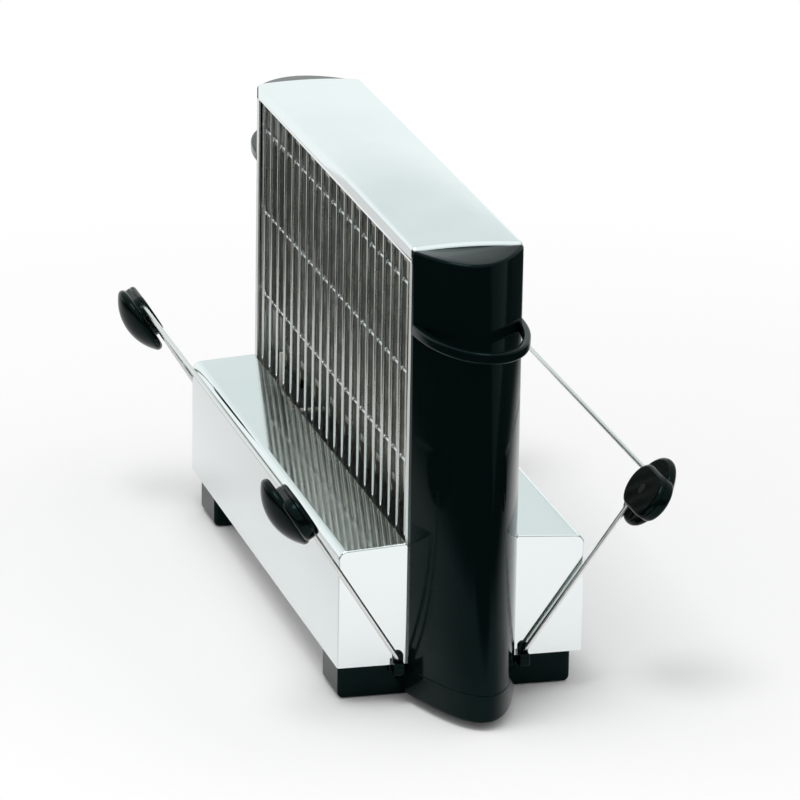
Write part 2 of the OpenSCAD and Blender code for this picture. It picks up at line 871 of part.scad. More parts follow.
module wiring() {
    low = floor_z + block.z / 2;
    block_face = block_x - lead_r - fit_gap;
    tab_x = board_x + board_t / 2 + ribbon_t + lead_r + fit_gap;
    tab_z = board_low_z + ribbon_edge / 2;
    timer_y = half_l + lead_r + sheet;
    gap = 3 * lead_r;
    color("ivory") {
        lead([
            [block_face, block_y + gap, low], [tab_x, block_y + gap, low],
            [tab_x, ribbon_y, low + gap], [tab_x, ribbon_y, tab_z]
        ]);
        lead([
            [block_face, block_y, low], [tab_x - gap, block_y, lead_hole_z],
            [-tab_x, block_y, lead_hole_z], [-tab_x, ribbon_y, lead_hole_z],
            [-tab_x, ribbon_y, tab_z]
        ]);
        lead([
            [block_face, block_y - gap, low], [lead_r + gap, block_y - gap, low],
            [lead_r + gap / 2, half_l - carrier_in, lead_hole_z],
            [lead_r + gap / 2, timer_y, lead_hole_z],
            [lead_r + gap / 2, timer_y, timer_z - timer_d / 2 - lead_r]
        ]);
    }
}

// Screws that hold the columns to the bulkheads, from inside the core
module column_screws() {
    color("silver") both_ends() both_sides() for (z = [boss_low_z, boss_high_z])
        translate([boss_x, -sheet, z]) screw_y(sheet + boss_l - boss_floor - cut);
}

// Screws from below that hold the feet, the base plate and the bulkheads together
module foot_screws() {
    color("silver") both_ends() both_sides()
        translate([foot_screw_x, -foot_screw_d, foot_screw_seat]) rotate([90, 0, 0])
            screw_y(foot_h + 3 * sheet - foot_screw_seat);
}

top_cap();
left_base_cover();
right_base_cover();
base_plate();
front_column();
rear_column();
front_foot();
rear_foot();
foot_pads();
front_bulkhead();
rear_bulkhead();
left_grille();
right_grille();
reflector();
left_heater_board();
right_heater_board();
left_heating_ribbon();
right_heating_ribbon();
left_rack();
left_front_grip();
left_rear_grip();
left_clamps();
left_grip_screws();
right_rack();
right_front_grip();
right_rear_grip();
right_clamps();
right_grip_screws();
timer_body();
timer_shaft();
timer_knob();
terminal_block();
cord_bush();
wiring();
column_screws();
foot_screws();
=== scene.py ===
"""Looks of an upright two-sided toaster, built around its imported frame. Metres, in the frame's axes."""
import json
import math

import bmesh
import bpy
from mathutils import Matrix, Vector


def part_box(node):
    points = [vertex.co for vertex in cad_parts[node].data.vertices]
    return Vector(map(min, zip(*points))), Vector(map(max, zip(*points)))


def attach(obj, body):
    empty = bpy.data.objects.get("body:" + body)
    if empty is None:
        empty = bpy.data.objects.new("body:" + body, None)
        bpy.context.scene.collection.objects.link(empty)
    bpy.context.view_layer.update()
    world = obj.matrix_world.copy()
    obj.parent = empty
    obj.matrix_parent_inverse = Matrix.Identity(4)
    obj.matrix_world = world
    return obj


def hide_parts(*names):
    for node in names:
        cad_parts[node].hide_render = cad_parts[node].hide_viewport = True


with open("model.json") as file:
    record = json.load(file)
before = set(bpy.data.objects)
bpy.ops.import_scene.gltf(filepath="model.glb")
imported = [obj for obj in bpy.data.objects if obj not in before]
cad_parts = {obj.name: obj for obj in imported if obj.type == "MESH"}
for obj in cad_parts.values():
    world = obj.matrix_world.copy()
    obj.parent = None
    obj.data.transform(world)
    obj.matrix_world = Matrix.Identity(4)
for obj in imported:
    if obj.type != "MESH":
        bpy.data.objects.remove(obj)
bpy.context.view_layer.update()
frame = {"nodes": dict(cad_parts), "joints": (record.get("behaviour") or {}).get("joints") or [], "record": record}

MM = 0.001
FRONT, REAR = -1, 1
LEFT, RIGHT = -1, 1
END_NAMES = {FRONT: "front", REAR: "rear"}
SIDE_NAMES = {LEFT: "left", RIGHT: "right"}

# Places that the frame gives
cap_low, cap_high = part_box("top_cap")
cover_low, cover_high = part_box("right_base_cover")
column_low, column_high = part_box("rear_column")
foot_low, foot_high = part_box("rear_foot")
knob_low, knob_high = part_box("timer_knob")
joints = {joint["name"]: joint for joint in frame["joints"]}
HALF_L = cap_high.y
HALF_CORE = cap_high.x
HALF_BASE = cover_high.x
FOOT_H = cover_low.z
SEAM_Z = column_low.z
COLUMN_TOP_Z = column_high.z
LOOP_NOSE = column_high.y - HALF_L
COLUMN_NOSE_LOW = foot_high.y - HALF_L
TIMER_Z = joints["timer_turn"]["pos_m"][2]

# Sheet metal
SHEET = 0.8 * MM
CAP_CROWN = 1.2 * MM
CAP_BEND = 1.2 * MM
CAP_END_BEND = 2.2 * MM
CAP_LIP = 4 * MM
TRAY_RISE = 2 * MM
TRAY_BEND = 4 * MM
TRAY_FLANGE = 8 * MM
FLANGE_BEND = 0.9 * MM
COVER_END_BEND = 0.7 * MM
CAP_STEPS = 40

# Columns, loops and feet
COLUMN_NOSE_TOP = 21 * MM
COLUMN_TOP_FALL = 1.6 * MM
COLUMN_WALL = 2.5 * MM
COLUMN_RIM = 1.3 * MM
COLUMN_LEVELS = 12
SEAM_EASE = 0.35 * MM
BOW_POWER = 2
BOW_STEPS = 64
LOOP_Z = 169.9 * MM
LOOP_H = 4.8 * MM
LOOP_T = 3.7 * MM
LOOP_SIDE = 0.1 * MM
LOOP_EASE = 1.0 * MM
PLINTH_NOSE = 43.6 * MM
PLINTH_ROUND = 1.6 * MM
PLINTH_RISE = 3.1 * MM
FOOT_SET = 9 * MM
FOOT_BACK = 37.5 * MM
FOOT_ROUND = 2.5 * MM
BAR_EASE = 0.8 * MM
NECK_SIDE = 1 * MM
LUG_R = 2.4 * MM
LUG_DROP = 4 * MM
LUG_TOP = 1.3 * MM
LUG_IN = 1.2 * MM
LUG_OUT = 4.3 * MM
LUG_EASE = 0.4 * MM
ARM_HALF = 3.5 * MM

# Racks and grips
WIRE_R = 1.1 * MM
# Rings of a rounded wire end as (radius, overhang), in wire radii
WIRE_END = ((0.3, 0.95), (0.75, 0.66))
PIN_IN = 8 * MM
PIN_BEND = 2.4 * MM
BAR_BEND = 6 * MM
SWING_GAP = 0.3 * MM
GRIP_DROP = 6.6 * MM
GRIP_R = 17 * MM
GRIP_STAND = 2.6 * MM
GRIP_TOP = 12.6 * MM
GRIP_RIM = 2.2 * MM
BOSS_R = 10.5 * MM
BOSS_REACH = 14.5 * MM
BOSS_TOP = 5 * MM
BOSS_EASE = 0.3 * MM
BOSS_ROUND = 2 * MM
CLAMP_FACE = 2.45 * MM
SEAM_GAP = 0.06 * MM

# Timer
SEAT_R = 15 * MM
SEAT_IN = 18 * MM
SEAT_OUT = 37.5 * MM
SEAT_ROUND = 1.4 * MM
SHAFT_HOLE = 3.4 * MM
KNOB_DISC = 7 * MM
KNOB_ROUND = 1.2 * MM
KNOB_FLUTES = 36
KNOB_FLUTE_DEPTH = 0.22 * MM
KNOB_STEPS = 6
RIDGE_HALF = 2 * MM
RIDGE_ROUND = 1.3 * MM
MARK_HALF = RIDGE_HALF / 4
MARK_ROUND = RIDGE_HALF / 5
# Half length and place of the pointer's mark, in the ridge's half length
MARK_REACH = 0.25
MARK_PLACE = 0.62

# Mesh limits: points this near are one, the least ring on an axis, and the broken edges of CAD nodes
MERGE = 1e-6
AXIS_R = 1e-5
NODE_EASE = 0.12 * MM
NODE_EASE_ANGLE = math.radians(50)

# How strongly mouldings and mica mirror, and the mouldings' tint
GLOSS_LEVEL = 0.1
GLOSS_TINT = (0.5, 1, 0.95, 1)
MICA_LEVEL = 0.12

scene = bpy.context.scene


# Mesh building: each function returns (points, faces)
def loft(rings, closed=True, start=True, end=True):
    """Skin over rings of equally many points; closed joins each ring's last point to its first."""
    count = len(rings[0])
    points = [point for ring in rings for point in ring]
    faces = []
    for i in range(len(rings) - 1):
        for j in range(count if closed else count - 1):
            k = (j + 1) % count
            faces.append((i * count + j, i * count + k, (i + 1) * count + k, (i + 1) * count + j))
    if start:
        faces.append(tuple(range(count)))
    if end:
        faces.append(tuple((len(rings) - 1) * count + j for j in range(count)))
    return points, faces


def join(*parts):
    """Several (points, faces) as one."""
    points, faces = [], []
    for part_points, part_faces in parts:
        offset = len(points)
        points += part_points
        faces += [tuple(offset + index for index in face) for face in part_faces]
    return points, faces


def arc(centre, radius, start, stop, steps):
    """Points on a plane arc, angles in degrees."""
    angles = [math.radians(start + (stop - start) * i / steps) for i in range(steps + 1)]
    return [(centre[0] + radius * math.cos(a), centre[1] + radius * math.sin(a)) for a in angles]


def round_rect(half_a, half_b, radius, steps=4):
    """Outline of a rectangle with round corners, about its middle."""
    points = []
    for turn, (a, b) in enumerate(((1, 1), (-1, 1), (-1, -1), (1, -1))):
        centre = (a * (half_a - radius), b * (half_b - radius))
        points += arc(centre, radius, 90 * turn, 90 * turn + 90, steps)
    return points


def frame_of(axis):
    """Two unit vectors square to an axis and to each other."""
    first = axis.orthogonal().normalized()
    return first, axis.cross(first).normalized()


def lathe(profile, origin, axis, segments=72, flutes=0, flute_depth=0):
    """Turns (radius, height) points about an axis. The third value of a point is its share of the flutes."""
    axis = Vector(axis).normalized()
    first, second = frame_of(axis)
    rings = []
    for radius, height, *share in profile:
        ring = []
        for i in range(segments):
            a = 2 * math.pi * i / segments
            ripple = flute_depth * (share[0] if share else 0) * math.cos(flutes * a)
            out = (first * math.cos(a) + second * math.sin(a)) * (max(radius, AXIS_R) + ripple)
            ring.append(Vector(origin) + axis * height + out)
        rings.append(ring)
    return loft(rings)


def fillet(corners, radii, steps=10):
    """A path through corners in space, with each inner corner rounded by its radius."""
    path = [corners[0]]
    for before, corner, after, radius in zip(corners, corners[1:], corners[2:], radii):
        to_before = (before - corner).normalized()
        to_after = (after - corner).normalized()
        half = to_before.angle(to_after) / 2
        middle = (to_before + to_after).normalized()
        centre = corner + middle * (radius / math.sin(half))
        start = corner + to_before * (radius / math.tan(half)) - centre
        stop = corner + to_after * (radius / math.tan(half)) - centre
        path += [centre + start.slerp(stop, i / steps).normalized() * radius for i in range(steps + 1)]
    return path + [corners[-1]]


def tube(path, radius, sides=20):
    """A round wire along a path, with rounded ends."""
    first, _ = frame_of((path[1] - path[0]).normalized())
    tangents = []
    for i in range(len(path)):
        ahead = path[min(i + 1, len(path) - 1)]
        behind = path[max(i - 1, 0)]
        tangents.append((ahead - behind).normalized())
    start = [(size * radius, -overhang * radius) for size, overhang in WIRE_END]
    stop = [(size * radius, overhang * radius) for size, overhang in reversed(WIRE_END)]
    rings = []
    for i, (point, tangent) in enumerate(zip(path, tangents)):
        first = (first - tangent * first.dot(tangent)).normalized()
        second = tangent.cross(first)
        shares = [(radius, 0)]
        if i == 0:
            shares = start + shares
        if i == len(path) - 1:
            shares = shares + stop
        for size, shift in shares:
            ring = []
            for j in range(sides):
                a = 2 * math.pi * j / sides
                ring.append(point + tangent * shift + (first * math.cos(a) + second * math.sin(a)) * size)
            rings.append(ring)
    return loft(rings)


def half_ellipse(half, depth):
    """Plan points (x, reach) of half an ellipse, from +half over the nose to -half."""
    turns = [math.pi * i / BOW_STEPS for i in range(BOW_STEPS + 1)]
    return [(half * math.cos(a), depth * math.sin(a)) for a in turns]


def bow():
    """Shares of the half width and of the nose along a column's bow, from right to left."""
    spots = [1 - 2 * i / BOW_STEPS for i in range(BOW_STEPS + 1)]
    return [(t, 1 - abs(t) ** BOW_POWER) for t in spots]


def at_end(end, x, reach, z):
    """A point of an end piece: reach is how far it stands out of the body's end face."""
    return Vector((x, end * (HALF_L + reach), z))


def box_part(end, x, reach, z, ease):
    """A bar between pairs of bounds, with eased edges, as rings along its reach."""
    outline = round_rect((x[1] - x[0]) / 2, (z[1] - z[0]) / 2, ease, 3)
    middle = ((x[0] + x[1]) / 2, (z[0] + z[1]) / 2)
    rings = []
    stations = ((reach[0], ease), (reach[0] + ease, 0), (reach[1] - ease, 0), (reach[1], ease))
    for place, inset in stations:
        fit_x = 1 - 2 * inset / (x[1] - x[0])
        fit_z = 1 - 2 * inset / (z[1] - z[0])
        rings.append([at_end(end, middle[0] + a * fit_x, place, middle[1] + b * fit_z) for a, b in outline])
    return loft(rings)


# Materials
def feed(tree, source, target):
    """Links an output to an input, or sets the input to a constant."""
    if isinstance(source, bpy.types.NodeSocket):
        tree.links.new(source, target)
    else:
        target.default_value = source


def texture(tree, kind, scale, stretch=(1, 1, 1), **values):
    """A procedural texture on the piece's own coordinates; scale is features per metre."""
    place = tree.nodes.new("ShaderNodeTexCoord")
    mapping = tree.nodes.new("ShaderNodeMapping")
    mapping.inputs["Scale"].default_value = [scale * s for s in stretch]
    node = tree.nodes.new(kind)
    node.inputs["Scale"].default_value = 1
    for name, value in values.items():
        node.inputs[name].default_value = value
    feed(tree, place.outputs["Object"], mapping.inputs["Vector"])
    feed(tree, mapping.outputs["Vector"], node.inputs["Vector"])
    return node


def noise(tree, scale, detail, stretch=(1, 1, 1)):
    """The factor of a noise texture."""
    return texture(tree, "ShaderNodeTexNoise", scale, stretch, Detail=detail).outputs["Fac"]


def spread(tree, factor, low, high, start=0.3, stop=0.7):
    """Maps a factor from start..stop to low..high."""
    node = tree.nodes.new("ShaderNodeMapRange")
    node.interpolation_type = "SMOOTHSTEP"
    for name, value in (("From Min", start), ("From Max", stop), ("To Min", low), ("To Max", high)):
        node.inputs[name].default_value = value
    feed(tree, factor, node.inputs["Value"])
    return node.outputs["Result"]


def two_tone(tree, factor, first, second):
    """A colour between two, by a factor; each is a constant or an output."""
    node = tree.nodes.new("ShaderNodeMix")
    node.data_type = "RGBA"
    for colour, name in ((first, "A"), (second, "B")):
        feed(tree, (*colour, 1) if isinstance(colour, tuple) else colour, node.inputs[name])
    feed(tree, factor, node.inputs["Factor"])
    return node.outputs["Result"]


def relief(tree, *layers):
    """Bump layers, each a (height, strength, distance), stacked into one normal."""
    normal = None
    for height, strength, distance in layers:
        node = tree.nodes.new("ShaderNodeBump")
        node.inputs["Strength"].default_value = strength
        node.inputs["Distance"].default_value = distance
        feed(tree, height, node.inputs["Height"])
        if normal:
            feed(tree, normal, node.inputs["Normal"])
        normal = node.outputs["Normal"]
    return normal


def new_material(slot, **values):
    """A material with its shader's constant sockets set; returns it with its tree and its shader."""
    material = bpy.data.materials.new(slot)
    material.use_nodes = True
    shader = material.node_tree.nodes["Principled BSDF"]
    for name, value in values.items():
        shader.inputs[name].default_value = value
    return material, material.node_tree, shader


def dress(tree, shader, tone, roughness=None, normal=None):
    """Feeds a shader's colour and, where they vary, its roughness and its normal."""
    for name, source in (("Base Color", tone), ("Roughness", roughness), ("Normal", normal)):
        if source is not None:
            feed(tree, source, shader.inputs[name])


def polished_steel():
    """Mirror-polished sheet: a little haze, fine rolling lines and a slow sway of the surface."""
    material, tree, shader = new_material("polished_steel", Metallic=1.0)
    haze = noise(tree, 22, 3)
    lines = noise(tree, 1500, 2, (1, 0.012, 1))
    sway = noise(tree, 9, 1, (1, 0.6, 1))
    tone = two_tone(tree, haze, (0.83, 0.885, 0.88), (0.87, 0.915, 0.912))
    normal = relief(tree, (sway, 0.08, 0.004), (lines, 0.02, 0.0001))
    dress(tree, shader, tone, spread(tree, haze, 0.05, 0.1), normal)
    return material


def inner_steel():
    """Plain bright sheet, brushed upright, with faint stains."""
    material, tree, shader = new_material("inner_steel", Metallic=1.0)
    brush = noise(tree, 2600, 3, (1, 1, 0.02))
    stain = noise(tree, 40, 4)
    tone = two_tone(tree, stain, (0.66, 0.67, 0.65), (0.76, 0.775, 0.765))
    dress(tree, shader, tone, spread(tree, brush, 0.24, 0.36), relief(tree, (brush, 0.06, 0.0001)))
    return material


def bright_wire():
    """Bright plated wire with drawing lines and duller places."""
    material, tree, shader = new_material("bright_wire", Metallic=1.0)
    drawn = noise(tree, 900, 3, (1, 0.05, 1))
    dull = noise(tree, 55, 3)
    tone = two_tone(tree, dull, (0.72, 0.735, 0.71), (0.84, 0.855, 0.84))
    dress(tree, shader, tone, spread(tree, dull, 0.2, 0.3), relief(tree, (drawn, 0.03, 0.0001)))
    return material


def moulded_gloss(slot, dark, light):
    """Glossy black moulding: a faint flow of tone, fine orange peel and slightly uneven shine."""
    material, tree, shader = new_material(slot)
    shader.inputs["Specular IOR Level"].default_value = GLOSS_LEVEL
    shader.inputs["Specular Tint"].default_value = GLOSS_TINT
    flow = noise(tree, 30, 3, (1, 1, 0.4))
    peel = noise(tree, 420, 2)
    tone = two_tone(tree, flow, dark, light)
    dress(tree, shader, tone, spread(tree, flow, 0.07, 0.12), relief(tree, (peel, 0.015, 0.0002)))
    return material


def black_gloss():
    """Columns, loops and feet."""
    return moulded_gloss("black_gloss", (0.001, 0.003, 0.003), (0.002, 0.0055, 0.005))


def grip_gloss():
    """Grips, clamps and knob, a little darker."""
    return moulded_gloss("grip_gloss", (0.0008, 0.002, 0.0018), (0.0015, 0.0035, 0.003))


def pad_rubber():
    """Matt rubber with a fine grain and a little dust."""
    material, tree, shader = new_material("pad_rubber")
    grain = noise(tree, 900, 4)
    dust = noise(tree, 120, 4)
    tone = two_tone(tree, dust, (0.018, 0.019, 0.019), (0.04, 0.041, 0.04))
    dress(tree, shader, tone, spread(tree, grain, 0.7, 0.9), relief(tree, (grain, 0.2, 0.0002)))
    return material


def mica():
    """Cloudy mica sheet with pearly flakes; its dark tone is partly the sheet's own and partly painted shade of
    the body's shaded inside.
    """
    material, tree, shader = new_material("mica")
    shader.inputs["Specular IOR Level"].default_value = MICA_LEVEL
    flakes = texture(tree, "ShaderNodeTexVoronoi", 190, (1, 1, 0.6), Randomness=1.0).outputs["Distance"]
    cloud = noise(tree, 35, 5)
    # Cloudy tone of the mica, kept darker than the sheet itself as painted shade inside the body
    cloud_and_shade_tone = two_tone(tree, cloud, (0.022, 0.023, 0.015), (0.055, 0.055, 0.038))
    shine = spread(tree, flakes, 0.35, 0.0, 0.1, 0.6)
    tone = two_tone(tree, shine, cloud_and_shade_tone, (0.11, 0.11, 0.08))
    roughness = spread(tree, flakes, 0.22, 0.42, 0.1, 0.7)
    dress(tree, shader, tone, roughness, relief(tree, (flakes, 0.1, 0.0002)))
    return material


def heating_alloy():
    """Rolled resistance ribbon, tinted by heat in places."""
    material, tree, shader = new_material("heating_alloy", Metallic=1.0)
    rolled = noise(tree, 1800, 2, (1, 1, 0.03))
    heat = noise(tree, 60, 3)
    tone = two_tone(tree, heat, (0.58, 0.55, 0.45), (0.74, 0.73, 0.66))
    dress(tree, shader, tone, spread(tree, rolled, 0.2, 0.34))
    return material


def case_plastic():
    """Matt heat-proof moulding with a fine grain."""
    material, tree, shader = new_material("case_plastic")
    grain = noise(tree, 800, 4)
    patch = noise(tree, 90, 3)
    tone = two_tone(tree, patch, (0.66, 0.64, 0.56), (0.76, 0.74, 0.67))
    dress(tree, shader, tone, spread(tree, grain, 0.45, 0.62), relief(tree, (grain, 0.12, 0.0002)))
    return material


def lead_cover():
    """Pale woven sleeve of the leads."""
    material, tree, shader = new_material("lead_cover", Roughness=0.8)
    braid = texture(tree, "ShaderNodeTexWave", 1400, Distortion=1.5).outputs["Fac"]
    tone = two_tone(tree, braid, (0.62, 0.60, 0.52), (0.84, 0.82, 0.75))
    dress(tree, shader, tone, normal=relief(tree, (braid, 0.4, 0.0002)))
    return material


def screw_metal(slot, metallic, first, second, low, high):
    """Screw metal between two tones and two roughnesses."""
    material, tree, shader = new_material(slot, Metallic=metallic)
    patch = noise(tree, 500, 3)
    dress(tree, shader, two_tone(tree, patch, first, second), spread(tree, patch, low, high))
    return material


def screw_steel():
    """Plated screws and the timer's shaft."""
    return screw_metal("screw_steel", 1.0, (0.66, 0.66, 0.63), (0.78, 0.785, 0.77), 0.18, 0.32)


def black_screw():
    """Blackened screws of the grips."""
    return screw_metal("black_screw", 0.6, (0.003, 0.004, 0.004), (0.008, 0.009, 0.009), 0.28, 0.42)


MAKERS = (polished_steel, inner_steel, bright_wire, black_gloss, grip_gloss, pad_rubber, mica, heating_alloy,
          case_plastic, lead_cover, screw_steel, black_screw)
materials = {maker.__name__: maker() for maker in MAKERS}


# Pieces
def piece(name, part, slot, body, nodes=(), *, sharp, wall=0):
    """Makes a mesh piece that rides on a body, takes a slot's material and stands for CAD nodes.

    Edges over sharp degrees stay hard, and a skin gets a wall of a thickness.
    """
    mesh = bpy.data.meshes.new(name)
    mesh.from_pydata([tuple(point) for point in part[0]], [], part[1])
    shape = bmesh.new()
    shape.from_mesh(mesh)
    bmesh.ops.remove_doubles(shape, verts=shape.verts, dist=MERGE)
    bmesh.ops.recalc_face_normals(shape, faces=shape.faces)
    shape.to_mesh(mesh)
    shape.free()
    mesh.shade_smooth()
    mesh.set_sharp_from_angle(angle=math.radians(sharp))
    mesh.materials.append(materials[slot])
    made = bpy.data.objects.new(name, mesh)
    scene.collection.objects.link(made)
    if wall:
        solid = made.modifiers.new("wall", "SOLIDIFY")
        solid.thickness = wall
        solid.offset = -1
        solid.use_even_offset = True
    flat = made.modifiers.new("flat_faces", "WEIGHTED_NORMAL")
    flat.keep_sharp = True
    flat.weight = 100
    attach(made, body)
    if nodes:
        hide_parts(*nodes)
    return made


def bend_rings(radius, steps=4):
    """(shift out, inset) pairs of a bend that turns a skin into an end panel."""
    turns = [math.radians(90 * i / steps) for i in range(steps + 1)]
    return [(radius * math.sin(a) - radius, radius * (1 - math.cos(a))) for a in turns]


def panelled_skin(outline, closing, skip, end_bend):
    """A folded sheet along Y with end panels.

    outline(inset) lists its (x, z) points, skip gives how many first and last points only the sheet has,
    and closing lists the extra corners of an end panel.
    """
    full = outline(0)
    first, last = skip[0], len(full) - skip[1]
    reach = HALF_L - end_bend
    edges = [[Vector((x, end * reach, z)) for x, z in full] for end in (FRONT, REAR)]
    parts = [loft(edges, False, False, False)]
    for end in (FRONT, REAR):
        rings = []
        for shift, inset in bend_rings(end_bend):
            ring = outline(inset)[first:last]
            rings.append([Vector((x, end * (HALF_L + shift), z)) for x, z in ring])
        parts.append(loft(rings, False, False, False))
        panel = rings[-1] + [Vector((x, end * HALF_L, z)) for x, z in closing]
        parts.append((panel, [tuple(range(len(panel)))]))
    return join(*parts)


def cap_outline(inset):
    """Cap from the left flange's edge over the crown to the right one."""
    half = HALF_CORE - inset
    crown_r = (HALF_CORE ** 2 + CAP_CROWN ** 2) / (2 * CAP_CROWN)
    top = []
    for i in range(CAP_STEPS + 1):
        x = -half * math.cos(math.pi * i / CAP_STEPS)
        over = max(0, abs(x) - (half - CAP_BEND))
        drop = CAP_BEND - math.sqrt(max(0, CAP_BEND ** 2 - over ** 2))
        top.append((x, cap_high.z - inset - (crown_r - math.sqrt(crown_r ** 2 - x ** 2)) - drop))
    lip_z = COLUMN_TOP_Z - CAP_LIP
    return [(-half, cap_low.z), (-half, lip_z)] + top + [(half, lip_z), (half, cap_low.z)]


def cover_outline(inset):
    """Right-hand cover from the tray's inner flange over the tray and its bend to the panel's lower edge."""
    slope = math.atan2(TRAY_RISE, HALF_BASE - HALF_CORE)
    top = cover_high.z - inset

    def tray(x):
        return top - (x - HALF_CORE) * math.tan(slope)

    inner = (HALF_CORE + FLANGE_BEND, tray(HALF_CORE + FLANGE_BEND) - FLANGE_BEND)
    outer_x = HALF_BASE - TRAY_BEND
    outer = (outer_x, tray(outer_x) - (TRAY_BEND - inset) / math.cos(slope))
    tilt = math.degrees(slope)
    points = [(HALF_CORE, cover_high.z - TRAY_FLANGE)]
    points += arc(inner, FLANGE_BEND, 180, 90 - tilt, 5)
    points += arc(outer, TRAY_BEND - inset, 90 - tilt, 0, 10)
    points.append((HALF_BASE - inset, FOOT_H))
    return points


def sheet_metal():
    """Cap, and the base covers as one shape and its mirror image."""
    cap = panelled_skin(cap_outline, (), (1, 1), CAP_END_BEND)
    piece("top_cap_sheet", cap, "polished_steel", "housing", ("top_cap",), sharp=40, wall=SHEET)
    points, faces = panelled_skin(cover_outline, ((HALF_CORE, FOOT_H),), (1, 0), COVER_END_BEND)
    for side in (LEFT, RIGHT):
        cover = ([Vector((side * p.x, p.y, p.z)) for p in points], faces)
        name = SIDE_NAMES[side] + "_base_cover"
        piece(name + "_sheet", cover, "polished_steel", "housing", (name,), sharp=40, wall=SHEET)


def column_nose(z):
    """Reach of the column's nose at a height."""
    share = (z - SEAM_Z) / (COLUMN_TOP_Z - SEAM_Z)
    return COLUMN_NOSE_LOW + (COLUMN_NOSE_TOP - COLUMN_NOSE_LOW) * share


def column_shell(end):
    """Bow-fronted shell with an eased lower edge, a round rim and a top that falls to the nose."""
    spots = bow()
    top = [COLUMN_TOP_Z - COLUMN_TOP_FALL * share - COLUMN_RIM for _, share in spots]
    low = SEAM_Z + SEAM_EASE
    rings = []

    def add(heights, inset):
        ring = []
        for (t, share), z in zip(spots, heights):
            ring.append(at_end(end, (HALF_CORE - inset) * t, (column_nose(z) - inset) * share, z))
        rings.append(ring)

    add([SEAM_Z] * len(spots), SEAM_EASE)
    add([low] * len(spots), 0)
    for i in range(1, COLUMN_LEVELS + 1):
        add([low + (z - low) * i / COLUMN_LEVELS for z in top], 0)
    for shift, inset in bend_rings(COLUMN_RIM, 6)[1:]:
        add([z + COLUMN_RIM + shift for z in top], inset)
    return loft(rings, False, False, True)


def carry_loop(end):
    """Band that bows out round the column's nose, with eased edges."""
    outer = half_ellipse(HALF_CORE + LOOP_SIDE, LOOP_NOSE)
    inner = half_ellipse(HALF_CORE + LOOP_SIDE - LOOP_T, LOOP_NOSE - LOOP_T)
    rings = []
    for (outer_x, outer_reach), (inner_x, inner_reach) in zip(outer, inner):
        step_x = outer_x - inner_x
        step_reach = outer_reach - inner_reach
        width = math.hypot(step_x, step_reach)
        ring = []
        for a, b in round_rect(width / 2, LOOP_H / 2, LOOP_EASE):
            share = 0.5 + a / width
            reach = inner_reach + step_reach * share
            ring.append(at_end(end, inner_x + step_x * share, reach, LOOP_Z + LOOP_H / 2 + b))
        rings.append(ring)
    return loft(rings)


def plinth(end):
    """Foot of the column, round at its lower edge and eased at the seam."""
    low = foot_low.z + PLINTH_RISE
    levels = [(low - shift, inset) for shift, inset in reversed(bend_rings(PLINTH_ROUND))]
    levels += [(SEAM_Z - SEAM_EASE, 0), (SEAM_Z, SEAM_EASE)]
    rings = []
    for z, inset in levels:
        share = (z - low) / (SEAM_Z - low)
        nose = PLINTH_NOSE + (COLUMN_NOSE_LOW - PLINTH_NOSE) * share
        half = HALF_CORE - inset
        rings.append([at_end(end, half * t, (nose - inset) * full, z) for t, full in bow()])
    return loft(rings)


def cross_bar(end):
    """Bar under the base with rounded lower edges and ends."""
    half = foot_high.x
    middle = -(FOOT_SET + FOOT_BACK) / 2
    half_d = (FOOT_BACK - FOOT_SET) / 2
    turns = bend_rings(FOOT_ROUND, 5)
    stations = [(-half - shift, inset) for shift, inset in reversed(turns)]
    stations += [(half + shift, inset) for shift, inset in turns]
    rings = []
    for x, inset in stations:
        low = foot_low.z + inset
        outline = round_rect(half_d - inset / 2, (FOOT_H - low) / 2, BAR_EASE, 3)
        rings.append([at_end(end, x, middle + a, (low + FOOT_H) / 2 + b) for a, b in outline])
    return loft(rings)


def pivot_of(side):
    """Where a rack's hinge crosses the middle of the body."""
    return Vector(joints[SIDE_NAMES[side] + "_rack_hinge"]["pos_m"])


def pivot_lug(end, pivot):
    """Arm under the base's edge, saddle below the wire and round ear behind it."""
    low = FOOT_H - LUG_DROP
    ear_z = pivot.z + LUG_TOP
    saddle_z = pivot.z - WIRE_R - SWING_GAP
    x = pivot.x
    wide = (x - ARM_HALF, x + ARM_HALF)
    narrow = (x - LUG_R, x + LUG_R)
    arm = box_part(end, wide, (-FOOT_SET - LUG_EASE, -SHEET), (low, FOOT_H), LUG_EASE)
    saddle = box_part(end, narrow, (-SHEET - LUG_EASE, LUG_OUT), (low, FOOT_H), LUG_EASE)
    lip = box_part(end, narrow, (SEAM_GAP, LUG_OUT), (FOOT_H - LUG_EASE, saddle_z), LUG_EASE)
    rings = []
    for reach, inset in ((SEAM_GAP, 0), (LUG_IN - LUG_EASE, 0), (LUG_IN, LUG_EASE)):
        outline = [(-LUG_R + inset, low), (LUG_R - inset, low)]
        outline += arc((0, ear_z), LUG_R - inset, 0, 180, 14)
        rings.append([at_end(end, x + a, reach, b) for a, b in outline])
    return join(arm, saddle, lip, loft(rings))


def end_mouldings():
    """Columns, carry loops and feet at both ends."""
    for end in (FRONT, REAR):
        name = END_NAMES[end]
        column = (name + "_column",)
        shell = column_shell(end)
        piece(name + "_column_shell", shell, "black_gloss", "housing", column, sharp=40, wall=COLUMN_WALL)
        piece(name + "_carry_loop", carry_loop(end), "black_gloss", "housing", column, sharp=60)
        neck_x = HALF_CORE - NECK_SIDE
        neck_z = (foot_low.z + PLINTH_RISE, SEAM_Z)
        neck = box_part(end, (-neck_x, neck_x), (-FOOT_SET - NECK_SIDE, NECK_SIDE), neck_z, BAR_EASE)
        lugs = [pivot_lug(end, pivot_of(side)) for side in (LEFT, RIGHT)]
        foot = join(plinth(end), cross_bar(end), neck, *lugs)
        piece(name + "_foot_moulding", foot, "black_gloss", "housing", (name + "_foot",), sharp=35)


